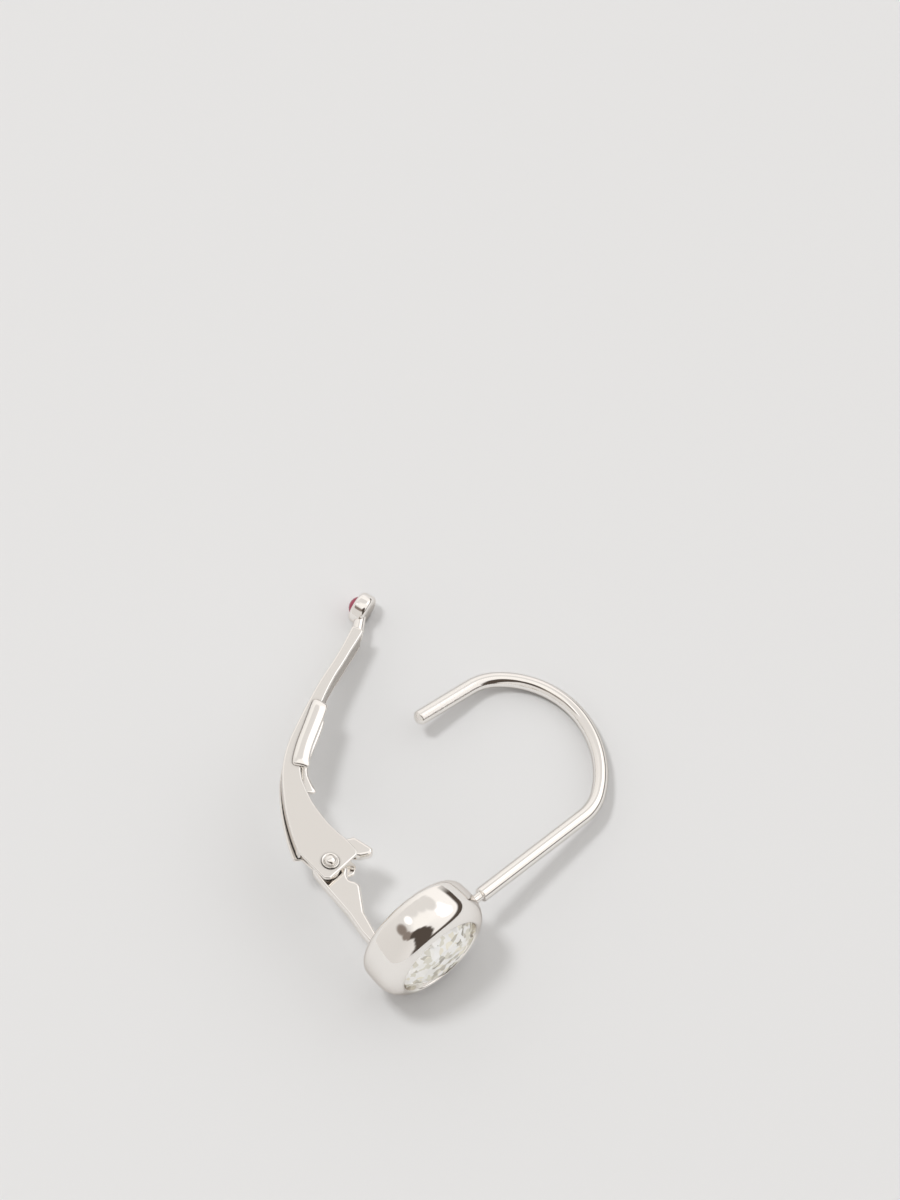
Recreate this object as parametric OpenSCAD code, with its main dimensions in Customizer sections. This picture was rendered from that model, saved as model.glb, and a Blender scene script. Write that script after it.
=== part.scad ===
// Leverback earring with one bezel-set round brilliant, lying open on its side.
// It is drawn upright in its side plane first: x is the way the stone faces, y is up the ear wire
// and z is across the earring. Each piece is then laid on the ground as one rigid whole.

/* [Stone] */
// Girdle diameter of the diamond
stone_d = 5.3; // [5:0.05:5.4]
// Width of the table as a share of the girdle
table_share = 0.56; // [0.5:0.01:0.65]
// Angle of the crown mains
crown_angle = 33; // [28:0.5:36]
// Angle of the pavilion mains
pavilion_angle = 40.5; // [38:0.5:42]
// Height of the girdle band
girdle_h = 0.1; // [0.06:0.01:0.15]
// Place of the girdle's middle in front of the bezel's middle
girdle_x = 0.96; // [0.9:0.02:1.04]

/* [Bezel] */
// Outside diameter of the bezel
bezel_d = 7.2; // [7:0.05:7.6]
// Front face in front of the bezel's middle
bezel_front = 1.45; // [1.4:0.05:1.5]
// Back face behind the bezel's middle
bezel_back = 1.4; // [1.4:0.05:1.6]
// Radius of the rounded front edge
front_round = 1.25; // [1.1:0.05:1.3]
// Radius of the rounded back edge
back_round = 0.6; // [0.4:0.05:0.8]
// Radius of the rounded lip round the opening
lip_round = 0.12; // [0.08:0.01:0.14]
// Radius of the hole in the back
back_hole_r = 1.9; // [1.5:0.1:2]

/* [Ear wire] */
// Diameter of the ear wire
wire_d = 0.85; // [0.75:0.05:0.9]
// Height of the stem's lower end above the bezel's middle
stem_y = 4.37; // [4.2:0.01:4.5]
// Place of the stem's lower end behind the bezel's middle
stem_back = 0.35; // [0.2:0.05:0.5]
// Lean of the stem away from upright
stem_lean = 3.5; // [2:0.5:5]
// Length of the straight stem
stem_l = 8; // [7.5:0.1:8.5]
// Length of the straight free end
free_l = 4.3; // [4:0.1:4.5]
// Diameter of the soldered neck under the stem
neck_d = 0.5; // [0.4:0.05:0.6]

/* [Tang] */
// Thickness of the tang
tang_t = 0.6; // [0.5:0.05:0.8]
// Diameter of the bosses round the pin
boss_d = 1.3; // [1.1:0.1:1.5]
// Place of the hinge pin behind the bezel's middle
hinge_back = 6.7; // [6.6:0.05:6.8]
// Place of the hinge pin below the bezel's middle
hinge_down = 1.4; // [1.35:0.05:1.45]
// Diameter of the hinge pin
pin_d = 0.6; // [0.5:0.05:0.7]
// Diameter of the domed pin heads
head_d = 1; // [0.9:0.05:1.1]
// Height of the domed pin heads
head_h = 0.3; // [0.2:0.05:0.35]

/* [Lever] */
// Full width of the lever
lever_w = 1.8; // [1.7:0.05:2]
// Thickness of its walls
wall = 0.22; // [0.2:0.01:0.25]
// Height of the catch lips above the side walls, at their lower end
lip_h = 0.45; // [0.3:0.05:0.6]
// Radius of the cup at the tip
cup_r = 0.9; // [0.8:0.05:1]
// Thickness of the cup
cup_t = 0.85; // [0.7:0.05:0.9]
// Diameter of the small red stone
red_d = 1.15; // [0.9:0.05:1.2]
// Height of its dome
red_h = 0.2; // [0.15:0.05:0.3]

/* [Resting place] */
// Roll of the side plane, from lying flat
rest_roll = -10.22; // [-10.4:0.01:-10]
// Pitch of the side plane
rest_pitch = -2.31; // [-2.5:0.01:-2.1]
// Heading of the stone's face on the ground
rest_heading = -50; // [-180:1:180]
// Height of the bezel's middle above the ground
rest_h = 3.63; // [3.5:0.01:3.8]
// Place of the bezel's middle to the right of the middle of the footprint
rest_x = -1.04; // [-2:0.01:0]
// Place of the bezel's middle behind the middle of the footprint
rest_y = -9.63; // [-10:0.01:-9]

/* [Hidden] */

$fn = 96;
over = 0.4; // how far joined metal runs into its neighbour
bore_gap = 0.02; // radial gap of the pin in the ears
tang_gap = 0.03; // radial gap of the pin in the tang, where it turns
stone_gap = 0.02; // gap between a stone and its seat
lip_lap = 0.07; // how far the bezel's lip laps over the girdle
joint_short = 0.05; // how far a stretch of wire stops short of its joint ball
joint_swell = 0.01; // how much fatter than the wire the joint ball is
bezel_r = bezel_d / 2;
hinge = [-hinge_back, -hinge_down];
channel_w = lever_w - 2 * wall;

// Arch of the ear wire, from the stem to the free end
// [radius, turn]
arch = [
    [3, 34],
    [6.4, 45],
    [5.1, 72.5],
    [1, 22.5]
];

// Side of the tang, from the bezel's back round the hinge
tang_points = [
    [-0.8, -2.7], [-2.4, -2.66], [-3.75, -2.46], [-6, -2.4], [-7.05, -2.3], [-7.4, -1.95], [-7.55, -1.4],
    [-7.75, 0.2], [-7.4, 1.05], [-6.2, 1.4], [-5.95, 1.2], [-6, 0.9], [-6.2, 0.45], [-6.5, 0.15],
    [-6.5, -0.4], [-6, -0.6], [-5.75, -0.85], [-5.4, -1], [-5.15, -0.8], [-4.8, -0.7],
    [-4.4, -0.95], [-3.3, -1.65], [-0.8, -2.25]
];

// Ear of the lever round the hinge, from its top corner to the lower end of its back
ear_points = [[-6.35, 0.3], [-6.15, 0.12], [-5.85, -2.1], [-6.05, -2.36], [-7.2, -2.42]];
heel_y = -2.42; // where the slanted cut that takes the heel off the far side leaves the near ear
heel_slant = 23;
pad_d = 1.24; // diameter of what that cut leaves round the pin
relief_d = 0.4; // diameter of the relief notch under each catch lip
lip_spread = 0.12; // how far the catch lips stand outside the side walls
lip_root = 0.48; // distance of their lower edge from the back

// Back of the lever, walked from the hinge end to the tip in stretches of one length
// [turn, depth of the side walls at the end of the stretch]
back_start = [-8.22, -2.42];
back_heading = 162;
back_depth = 2.85;
stretch_l = 1.6;
back_run = [
    [-8, 2.2],
    [-6, 1.6],
    [-6, 1.15],
    [-13, 0.92],
    [-11, 0.88],
    [-1, 0.82],
    [-2, 0.7],
    [-5, 0.6],
    [5, 0.6],
    [3, 0.72]
];
run_steps = 4; // stations in each stretch
catch_first = 15; // station at which the catch lips begin
catch_last = 26; // station at which they end
channel_last = 37; // station at which the channel ends
cup_at = [-18.68, 11.12];
cup_face = 198; // way that the cup faces
neck_at_cup = 0.68; // diameter of the short neck between the arm and the cup

function ahead(p, heading, l) = p + l * [cos(heading), sin(heading)];
function aside(p, heading, l) = p + l * [sin(heading), -cos(heading)];

// Stations along the back: [point, heading, depth], one for each piece of each stretch
function walk(p, heading, depth, i, out) =
    i == len(back_run) * run_steps ? out :
    let (
        row = back_run[floor(i / run_steps)],
        turn = row[0] / run_steps,
        before = i < run_steps ? back_depth : back_run[floor(i / run_steps) - 1][1],
        share = ((i % run_steps) + 1) / run_steps,
        next = ahead(p, heading + turn / 2, stretch_l / run_steps),
        d = before + (row[1] - before) * share
    )
    walk(next, heading + turn, d, i + 1, concat(out, [[next, heading + turn, d]]));

stations = walk(back_start, back_heading, back_depth, 0, [[back_start, back_heading, back_depth]]);

function stretch(first, last) = [for (i = [first : last]) stations[i]];
function back_line(list, inset) = [for (s = list) aside(s[0], s[1], inset)];
function front_line(list, extra) =
    [for (i = [len(list) - 1 : -1 : 0]) aside(list[i][0], list[i][1], list[i][2] + extra)];
function lip_line(list) =
    [for (i = [len(list) - 1 : -1 : 0])
        aside(list[i][0], list[i][1], list[i][2] + lip_h * (1 - 0.5 * i / (len(list) - 1)))];

module lay() {
    translate([rest_x, rest_y, rest_h])
        rotate([rest_roll, rest_pitch, rest_heading])
            children();
}

// Facets of the round brilliant, on the z axis with its girdle's middle at 0
table_r = stone_d / 2 * table_share;
crown_h = (stone_d / 2 - table_r) * tan(crown_angle);
pavilion_h = stone_d / 2 * tan(pavilion_angle);
star_r = stone_d / 2 * 0.8;
star_z = girdle_h / 2 + crown_h * 0.5;
lower_r = stone_d / 2 * 0.24;
lower_z = -girdle_h / 2 - pavilion_h * 0.79;

function ring(n, r, z, start) =
    [for (i = [0 : n - 1]) let (a = start + i * 360 / n) [r * cos(a), r * sin(a), z]];

module brilliant() {
    points = concat(
        ring(8, table_r, girdle_h / 2 + crown_h, 0),
        ring(8, star_r, star_z, 22.5),
        ring(16, stone_d / 2, girdle_h / 2, 0),
        ring(16, stone_d / 2, -girdle_h / 2, 0),
        ring(8, lower_r, lower_z, 22.5),
        [[0, 0, -girdle_h / 2 - pavilion_h]]
    );
    function t(i) = i % 8;
    function s(i) = 8 + i % 8;
    function g(i) = 16 + i % 16;
    function b(i) = 32 + i % 16;
    function l(i) = 48 + i % 8;
    faces = concat(
        [[for (i = [7 : -1 : 0]) i]],
        [for (i = [0 : 7]) [t(i), t(i + 1), s(i)]],
        [for (i = [0 : 7]) [t(i), s(i), g(2 * i)]],
        [for (i = [0 : 7]) [t(i), g(2 * i), s(i + 7)]],
        [for (i = [0 : 7]) [s(i), g(2 * i + 1), g(2 * i)]],
        [for (i = [0 : 7]) [s(i), g(2 * i + 2), g(2 * i + 1)]],
        [for (i = [0 : 15]) [g(i), g(i + 1), b(i + 1), b(i)]],
        [for (i = [0 : 7]) [b(2 * i), b(2 * i + 1), l(i)]],
        [for (i = [0 : 7]) [b(2 * i + 1), b(2 * i + 2), l(i)]],
        [for (i = [0 : 7]) [b(2 * i), l(i), 56]],
        [for (i = [0 : 7]) [b(2 * i), 56, l(i + 7)]]
    );
    polyhedron(points, faces);
}

// Turns what stands on the z axis to face along x
module facing() {
    rotate([0, 90, 0]) children();
}

// Half section of the bezel, its axis upright
module bezel_section() {
    seat_r = stone_d / 2 + stone_gap;
    open_r = seat_r - lip_lap;
    lip_x = open_r + lip_round;
    front_x = bezel_r - front_round;
    back_x = bezel_r - back_round;
    lip_y = bezel_front - front_round + sqrt(pow(front_round, 2) - pow(front_x - lip_x, 2)) - lip_round;
    under = girdle_x - girdle_h / 2 - 2 * stone_gap;
    roof = girdle_x + girdle_h / 2 + stone_gap;
    difference() {
        union() {
            intersection() {
                translate([front_x, bezel_front - front_round]) circle(front_round);
                translate([lip_x, 0]) square(bezel_r);
            }
            translate([lip_x, lip_y]) circle(lip_round);
            translate([open_r, 0]) square([lip_x - open_r + 0.1, lip_y]);
            translate([back_hole_r, -bezel_back]) square([back_x - back_hole_r, bezel_back + 0.5]);
            translate([back_x, back_round - bezel_back]) circle(back_round);
            translate([lip_x, back_round - bezel_back])
                square([bezel_r - lip_x, bezel_front + bezel_back - front_round - back_round]);
        }
        polygon([[0, roof], [open_r - 0.01, roof + 0.1], [seat_r, roof], [seat_r, under],
            [0, under - seat_r * tan(pavilion_angle)]]);
    }
}

module bezel() {
    facing() rotate_extrude() bezel_section();
}

// Turns a rod's axis from z to the given heading in the side plane
module along(p, heading) {
    translate([p[0], p[1], 0]) rotate([0, 0, heading]) rotate([0, 90, 0]) children();
}

// Ball that joins two stretches of the ear wire, a hair fatter than they are
module joint_ball(p) {
    translate([p[0], p[1], 0]) sphere(d = wire_d + 2 * joint_swell);
}

// Next bend of the ear wire, then the rest of it
module wire_from(p, heading, i) {
    joint_ball(p);
    if (i == len(arch)) {
        along(p, heading) free_end();
    } else {
        r = arch[i][0];
        turn = arch[i][1];
        trim = joint_short / r * 180 / PI;
        middle = aside(p, heading, -r);
        translate([middle[0], middle[1], 0])
            rotate([0, 0, heading - 90 + trim])
                rotate_extrude(angle = turn - 2 * trim) translate([r, 0]) circle(d = wire_d);
        wire_from(aside(middle, heading + turn, r), heading + turn, i + 1);
    }
}

module free_end() {
    r = wire_d / 2;
    bevel = r / 2;
    rotate_extrude() polygon([[0, joint_short], [r, joint_short], [r, free_l - bevel],
        [r - bevel, free_l], [0, free_l]]);
}

module stem() {
    neck_l = stem_y - bezel_r + over;
    rotate_extrude() polygon([[0, -neck_l], [neck_d / 2, -neck_l], [neck_d / 2, 0], [wire_d / 2, 0],
        [wire_d / 2, stem_l - joint_short], [0, stem_l - joint_short]]);
}

module ear_wire() {
    start = [-stem_back, stem_y];
    lean = 90 + stem_lean;
    along(start, lean) stem();
    wire_from(ahead(start, lean, stem_l), lean, 0);
}

module tang() {
    difference() {
        union() {
            linear_extrude(tang_t, center = true) polygon(tang_points);
            translate(hinge) cylinder(h = channel_w - 0.1, d = boss_d, center = true);
        }
        translate(hinge) cylinder(h = lever_w, d = pin_d + 2 * tang_gap, center = true);
    }
}

module bezel_and_ear_wire() {
    color("gainsboro") lay() {
        bezel();
        ear_wire();
        tang();
    }
}

module diamond() {
    color("white") lay() translate([girdle_x, 0, 0]) facing() brilliant();
}

// Shallow dome on a round base
module dome(d, h) {
    r = (d * d / 4 + h * h) / (2 * h);
    intersection() {
        cylinder(h = h, d = d);
        translate([0, 0, h - r]) sphere(r);
    }
}

module hinge_pin() {
    reach = lever_w / 2 + bore_gap;
    color("silver") lay() translate(hinge) {
        cylinder(h = 2 * reach, d = pin_d, center = true);
        translate([0, 0, reach]) dome(head_d, head_h);
        mirror([0, 0, 1]) translate([0, 0, reach]) dome(head_d, head_h);
    }
}

module lever_side() {
    polygon(concat(back_line(stations, 0), front_line(stations, 0), ear_points));
}

module lever_channel() {
    inner = stretch(0, channel_last);
    polygon(concat(back_line(inner, wall), front_line(inner, 1), [[-5, 1.5], [-5, -3.2], [-8.1, -3.2]]));
}

module catch_lips() {
    run = stretch(catch_first, catch_last);
    for (side = [-1, 1])
        translate([0, 0, side * (lever_w / 2 - wall / 2 + lip_spread)])
            linear_extrude(wall + 0.1, center = true)
                polygon(concat(back_line(run, lip_root), lip_line(run)));
}

// Half section of the cup, its axis upright
module cup_section() {
    edge = 0.22;
    square([cup_r - edge, cup_t]);
    translate([0, edge]) square([cup_r, cup_t - 2 * edge]);
    for (y = [edge, cup_t - edge])
        translate([cup_r - edge, y]) circle(edge);
}

module tip_cup() {
    last = stations[len(stations) - 1];
    arm_end = aside(last[0], last[1], last[2] / 2);
    way = atan2(cup_at[1] - arm_end[1], cup_at[0] - arm_end[0]);
    neck_root = 0.3; // how far the neck runs into the arm
    difference() {
        union() {
            along(ahead(arm_end, way, -neck_root), way) cylinder(h = norm(cup_at - arm_end), d = neck_at_cup);
            along(ahead(cup_at, cup_face, -cup_t / 2), cup_face) rotate_extrude() cup_section();
        }
        along(cup_at, cup_face) cylinder(h = cup_t, d = red_d + 2 * stone_gap);
    }
}

// Slanted cut along the lower end of the back wall, from the near ear to the far side
module heel_cut() {
    difference() {
        translate([hinge[0], heel_y, channel_w / 2])
            rotate([heel_slant, 0, 0])
                translate([-4, -3, -4])
                    cube([5, 3, 4]);
        translate(hinge) cylinder(h = 2 * lever_w, d = pad_d, center = true);
    }
}

module relief() {
    low = stations[catch_first - 1];
    at = aside(low[0], low[1], low[2] - 0.05);
    translate(at) cylinder(h = 2 * lever_w, d = relief_d, center = true);
}

module lever() {
    color("gainsboro") lay() difference() {
        union() {
            difference() {
                linear_extrude(lever_w, center = true) lever_side();
                linear_extrude(channel_w, center = true) lever_channel();
            }
            catch_lips();
            tip_cup();
        }
        heel_cut();
        relief();
        translate(hinge) cylinder(h = 2 * lever_w, d = pin_d + 2 * bore_gap, center = true);
    }
}

module red_stone() {
    color("crimson") lay() along(ahead(cup_at, cup_face, stone_gap), cup_face) {
        cylinder(h = cup_t / 2, d = red_d);
        translate([0, 0, cup_t / 2]) dome(red_d, red_h);
    }
}

bezel_and_ear_wire();
diamond();
hinge_pin();
lever();
red_stone();
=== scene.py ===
import math
import bpy
import bmesh
from mathutils import Matrix, Vector
from mathutils.geometry import tessellate_polygon


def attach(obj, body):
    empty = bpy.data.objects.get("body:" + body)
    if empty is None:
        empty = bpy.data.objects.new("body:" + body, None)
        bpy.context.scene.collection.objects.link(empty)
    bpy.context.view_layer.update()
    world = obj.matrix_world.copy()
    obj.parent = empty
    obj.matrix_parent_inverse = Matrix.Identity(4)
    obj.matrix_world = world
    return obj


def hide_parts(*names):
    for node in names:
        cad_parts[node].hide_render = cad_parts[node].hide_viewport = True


# Leverback earring with a bezel-set diamond, lying open on a pale table.
# Pieces are drawn in millimetres in the earring's own side plane, x the way the stone faces, y up the
# ear wire and z across it, and restMatrix then lays each finished mesh on the table, in metres.

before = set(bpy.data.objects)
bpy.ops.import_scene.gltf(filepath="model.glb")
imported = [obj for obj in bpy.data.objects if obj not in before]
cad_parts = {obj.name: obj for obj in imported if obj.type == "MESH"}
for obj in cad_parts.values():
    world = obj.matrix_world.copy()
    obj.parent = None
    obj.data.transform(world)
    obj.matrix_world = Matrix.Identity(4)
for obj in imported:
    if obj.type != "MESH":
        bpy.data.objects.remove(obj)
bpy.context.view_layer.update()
mm = 0.001
weld = 1e-4  # mm, points closer than this become one

resting = {"middle": (-1.04, -9.63, 3.63), "roll": -10.22, "pitch": -2.31, "heading": -50}


def restMatrix():
    turn = Matrix.Identity(4)
    for axis, angle in (("Z", resting["heading"]), ("Y", resting["pitch"]), ("X", resting["roll"])):
        turn = turn @ Matrix.Rotation(math.radians(angle), 4, axis)
    return Matrix.Scale(mm, 4) @ Matrix.Translation(resting["middle"]) @ turn


# Nodes and colours

def linear(code):  # sRGB hex code to linear RGBA
    parts = [int(code[i:i + 2], 16) / 255 for i in (1, 3, 5)]
    return [c / 12.92 if c <= 0.04045 else ((c + 0.055) / 1.055) ** 2.4 for c in parts] + [1]


def addNode(tree, kind, values={}, **settings):  # values are constants or sockets to link from
    node = tree.nodes.new(kind)
    for name, value in settings.items():
        setattr(node, name, value)
    for key, value in values.items():
        if isinstance(value, bpy.types.NodeSocket):
            tree.links.new(value, node.inputs[key])
        else:
            node.inputs[key].default_value = value
    return node


def newMaterial(name):
    material = bpy.data.materials.new(name)
    material.use_nodes = True
    material.node_tree.nodes.clear()
    return material, material.node_tree


# Gold alloyed white, rhodium plated and buffed on a wheel: a warm near-white mirror that gently warps what it
# reflects, with a few hairlines left by the buff, and painted shade that darkens it in the crevices and
# between parts
whiteGoldLook = {"tint": "#FDFAF6", "roughness": 0.045, "haze": 0.05, "hazeBand": (0.35, 0.75),
                 "waveSize": 1.1, "waveHeight": 0.0012, "hairSize": 0.09, "hairHeight": 0.0002,
                 "edgeTint": "#E0DCD9", "paintedShadeTone": "#2A221D", "creviceSize": 0.22, "creviceSamples": 8,
                 "paintedShadeFade": (0.3, 0.62)}


def whiteGold(name, look, along=(1, 1, 1), alone=False, worn=None):  # alone: only the piece's own crevices take the painted shade
    material, tree = newMaterial(name)
    place = addNode(tree, "ShaderNodeTexCoord").outputs["Object"]
    waves = addNode(tree, "ShaderNodeTexNoise", {"Vector": place, "Scale": 1 / (look["waveSize"] * mm),
                                                 "Detail": 1})
    stretched = addNode(tree, "ShaderNodeMapping", {"Vector": place, "Scale": along})
    hairs = addNode(tree, "ShaderNodeTexNoise", {"Vector": stretched.outputs["Vector"],
                                                 "Scale": 1 / (look["hairSize"] * mm), "Detail": 2})
    warp = addNode(tree, "ShaderNodeBump", {"Height": waves.outputs["Fac"],
                                            "Distance": look["waveHeight"] * mm})
    grain = addNode(tree, "ShaderNodeBump", {"Height": hairs.outputs["Fac"], "Normal": warp.outputs["Normal"],
                                             "Distance": look["hairHeight"] * mm})
    haze = addNode(tree, "ShaderNodeMapRange", {"Value": waves.outputs["Fac"],
                                                "From Min": look["hazeBand"][0],
                                                "From Max": look["hazeBand"][1],
                                                "To Min": look["roughness"],
                                                "To Max": look["roughness"] + look["haze"]})
    # Painted shade: the tint darkens towards a dark brown where ambient occlusion finds the surface enclosed,
    # in crevices and between parts
    openness = addNode(tree, "ShaderNodeAmbientOcclusion", {"Distance": look["creviceSize"] * mm},
                       samples=look["creviceSamples"], only_local=alone)
    paintedShadeFade = addNode(tree, "ShaderNodeMapRange", {"Value": openness.outputs["AO"],
                                                 "From Min": look["paintedShadeFade"][0],
                                                 "From Max": look["paintedShadeFade"][1]})
    tint = addNode(tree, "ShaderNodeMix", {"Factor": paintedShadeFade.outputs["Result"], "A": linear(look["paintedShadeTone"]),
                                           "B": linear(look["tint"])}, data_type="RGBA")
    roughness, normal = haze.outputs["Result"], grain.outputs["Normal"]
    if worn:  # dull and finely pitted round one point
        middle = restMatrix() @ Vector((*worn["around"], 0))
        away = addNode(tree, "ShaderNodeVectorMath", {0: place, 1: middle},
                       operation="DISTANCE").outputs["Value"]
        wear = addNode(tree, "ShaderNodeMapRange", {"Value": away, "From Min": worn["reach"] * mm,
                                                    "From Max": worn["reach"] * mm * worn["fade"]}
                       ).outputs["Result"]
        pits = addNode(tree, "ShaderNodeTexNoise", {"Vector": place, "Scale": 1 / (worn["pitSize"] * mm),
                                                    "Detail": 2})
        normal = addNode(tree, "ShaderNodeBump", {"Height": pits.outputs["Fac"], "Normal": normal,
                                                  "Strength": wear, "Distance": worn["pitDepth"] * mm}
                         ).outputs["Normal"]
        roughness = addNode(tree, "ShaderNodeMath", {0: wear, 1: worn["dulling"], 2: roughness},
                            operation="MULTIPLY_ADD").outputs[0]
    metal = addNode(tree, "ShaderNodeBsdfPrincipled", {"Base Color": tint.outputs["Result"], "Metallic": 1,
                                                       "Specular Tint": linear(look["edgeTint"]),
                                                       "Roughness": roughness, "Normal": normal})
    addNode(tree, "ShaderNodeOutputMaterial", {"Surface": metal.outputs["BSDF"]})
    return material


# Each metal below sets its own range for the painted crevice shade
castGold = whiteGold("white_gold_cast_and_buffed", {**whiteGoldLook, "paintedShadeFade": (0.1, 0.35)}, alone=True)
smallGold = whiteGold("white_gold_small_parts", whiteGoldLook)
# Sheet stamped and folded, then buffed flat: the same metal with a softer mirror
sheetGold = whiteGold("white_gold_stamped_sheet", {**whiteGoldLook, "roughness": 0.07, "waveSize": 2.6,
                                                   "waveHeight": 0.012, "paintedShadeFade": (0.55, 0.9)})
# Wire pulled through a die: faint lines run along it, and its free end is dulled by wear
drawnGold = whiteGold("white_gold_drawn_wire", {**whiteGoldLook, "hairSize": 0.12, "hairHeight": 0.0006,
                                                "edgeTint": "#B7B1AC"},
                      along=(1, 0.15, 0.4),
                      worn={"around": (-11.2, 9.6), "reach": 4.2, "fade": 0.6, "pitSize": 0.14,
                            "pitDepth": 0.006, "dulling": 0.16})


# Diamond cut as a round brilliant and polished: clear and strongly refracting. The pale, grey and cream tones
# that its back facets throw up through the crown are painted reflections, drawn in as small angular cells,
# and those cells also glow a little as painted light in place of the light the facets give back
diamondLook = {"reflectionCellSize": 0.36, "clear": 0.42, "paintedGlow": 0.14,
               "paintedFacetReflections": [(0, "#FFFFFF"), (0.36, "#F6F1E0"), (0.52, "#E2DFD2"), (0.66, "#FFFFFF"),
                           (0.8, "#C2BDAF"), (0.93, "#8D877A")]}


def diamondMaterial(look):
    material, tree = newMaterial("diamond_brilliant_cut")
    place = addNode(tree, "ShaderNodeTexCoord").outputs["Object"]
    cells = addNode(tree, "ShaderNodeTexVoronoi", {"Vector": place, "Scale": 1 / (look["reflectionCellSize"] * mm)},
                    distance="MANHATTAN")
    pick = addNode(tree, "ShaderNodeSeparateColor", {"Color": cells.outputs["Color"]})
    tones = addNode(tree, "ShaderNodeValToRGB", {"Fac": pick.outputs["Red"]})
    tones.color_ramp.interpolation = "CONSTANT"
    stops = tones.color_ramp.elements
    while len(stops) < len(look["paintedFacetReflections"]):
        stops.new(0.5)  # moved to its own share below
    for stop, (share, tone) in zip(stops, look["paintedFacetReflections"]):
        stop.position = share
        stop.color = linear(tone)
    # Painted reflections in the base colour, with the same tones glowing faintly as painted light
    stone = addNode(tree, "ShaderNodeBsdfPrincipled", {"Base Color": tones.outputs["Color"], "Roughness": 0,
                                                       "IOR": 2.417, "Transmission Weight": look["clear"],
                                                       "Emission Color": tones.outputs["Color"],
                                                       "Emission Strength": look["paintedGlow"]})
    addNode(tree, "ShaderNodeOutputMaterial", {"Surface": stone.outputs["BSDF"]})
    return material


# Small domed ruby, polished: clear red glass-like corundum, darker where it is deep
rubyLook = {"silkSize": 0.4, "deep": "#7E0C34", "pale": "#B81E50", "roughness": 0.04, "clear": 0.1}


def rubyMaterial(look):
    material, tree = newMaterial("ruby_cabochon")
    place = addNode(tree, "ShaderNodeTexCoord").outputs["Object"]
    silk = addNode(tree, "ShaderNodeTexNoise", {"Vector": place, "Scale": 1 / (look["silkSize"] * mm),
                                                "Detail": 2})
    depth = addNode(tree, "ShaderNodeValToRGB", {"Fac": silk.outputs["Fac"]})
    depth.color_ramp.elements[0].color = linear(look["deep"])
    depth.color_ramp.elements[1].color = linear(look["pale"])
    stone = addNode(tree, "ShaderNodeBsdfPrincipled", {"Base Color": depth.outputs["Color"], "IOR": 1.77,
                                                       "Roughness": look["roughness"],
                                                       "Transmission Weight": look["clear"]})
    addNode(tree, "ShaderNodeOutputMaterial", {"Surface": stone.outputs["BSDF"]})
    return material


# Meshes

def meshObject(name, vertices, faces):
    mesh = bpy.data.meshes.new(name)
    mesh.from_pydata([tuple(v) for v in vertices], [], faces)
    thing = bpy.data.objects.new(name, mesh)
    bpy.context.scene.collection.objects.link(thing)
    return thing


def tidyMesh(mesh, smooth=True):  # welds what coincides, turns the faces outward
    work = bmesh.new()
    work.from_mesh(mesh)
    bmesh.ops.remove_doubles(work, verts=work.verts, dist=weld)
    bmesh.ops.recalc_face_normals(work, faces=work.faces)
    for face in work.faces:
        face.smooth = smooth
    work.to_mesh(mesh)
    work.free()


def finishPiece(thing, material, body, node, smooth=True):
    tidyMesh(thing.data, smooth)
    thing.data.transform(restMatrix())
    thing.data.materials.clear()
    thing.data.materials.append(material)
    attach(thing, body)
    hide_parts(node)
    print("made", thing.name, len(thing.data.polygons), "faces")


def joined(name, things):  # one object out of several
    work = bmesh.new()
    for thing in things:
        work.from_mesh(thing.data)
        bpy.data.objects.remove(thing)
    mesh = bpy.data.meshes.new(name)
    work.to_mesh(mesh)
    work.free()
    made = bpy.data.objects.new(name, mesh)
    bpy.context.scene.collection.objects.link(made)
    return made


def placed(thing, at, heading):  # moves what was drawn along x to a point and heading of the side plane
    turn = Matrix.Rotation(math.radians(heading), 4, "Z")
    thing.data.transform(Matrix.Translation((at[0], at[1], 0)) @ turn)
    return thing


# Outlines

def ahead(point, heading, length):
    angle = math.radians(heading)
    return Vector((point[0] + length * math.cos(angle), point[1] + length * math.sin(angle)))


def aside(point, heading, length):
    return ahead(point, heading - 90, length)


rounding = {"least": 13, "share": 0.42, "step": 15, "hold": 0.03}  # degrees, of a side, degrees, mm


# Rounds the corners of an outline, each (x, y) or (x, y, radius). Corners flatter than least stay, no arc
# takes more than its share of a side, and a point just past each arc keeps a long side straight.
def filleted(points, radius, closed=True):
    made = []
    count = len(points)
    hold = rounding["hold"]
    longSide = 5 * hold
    for i, point in enumerate(points):
        middle = Vector(point[:2])
        if not closed and i in (0, count - 1):
            made.append(middle)
            continue
        back = Vector(points[i - 1][:2]) - middle
        on = Vector(points[(i + 1) % count][:2]) - middle
        turn = math.pi - back.angle(on)
        if turn < math.radians(rounding["least"]):
            made.append(middle)
            continue
        wanted = point[2] if len(point) > 2 else radius
        most = rounding["share"] * min(back.length, on.length)
        reach = min(wanted * math.tan(turn / 2), most)
        r = reach / math.tan(turn / 2)
        centre = middle + (back.normalized() + on.normalized()).normalized() * (r / math.cos(turn / 2))
        start = middle + back.normalized() * reach
        side = 1 if back.cross(on) < 0 else -1
        steps = max(2, round(math.degrees(turn) / rounding["step"]))
        if back.length > longSide:
            made.append(start + back.normalized() * hold)
        for k in range(steps + 1):
            made.append(centre + Matrix.Rotation(side * turn * k / steps, 2) @ (start - centre))
        if on.length > longSide:
            made.append(middle + on.normalized() * (reach + hold))
    return made


def arc(centre, radius, first, last, steps):
    angles = [first + (last - first) * k / steps for k in range(steps + 1)]
    return [ahead(centre, angle, radius) for angle in angles]


def quarterTurn(steps):
    return [math.pi / 2 * k / steps for k in range(steps + 1)]


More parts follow.
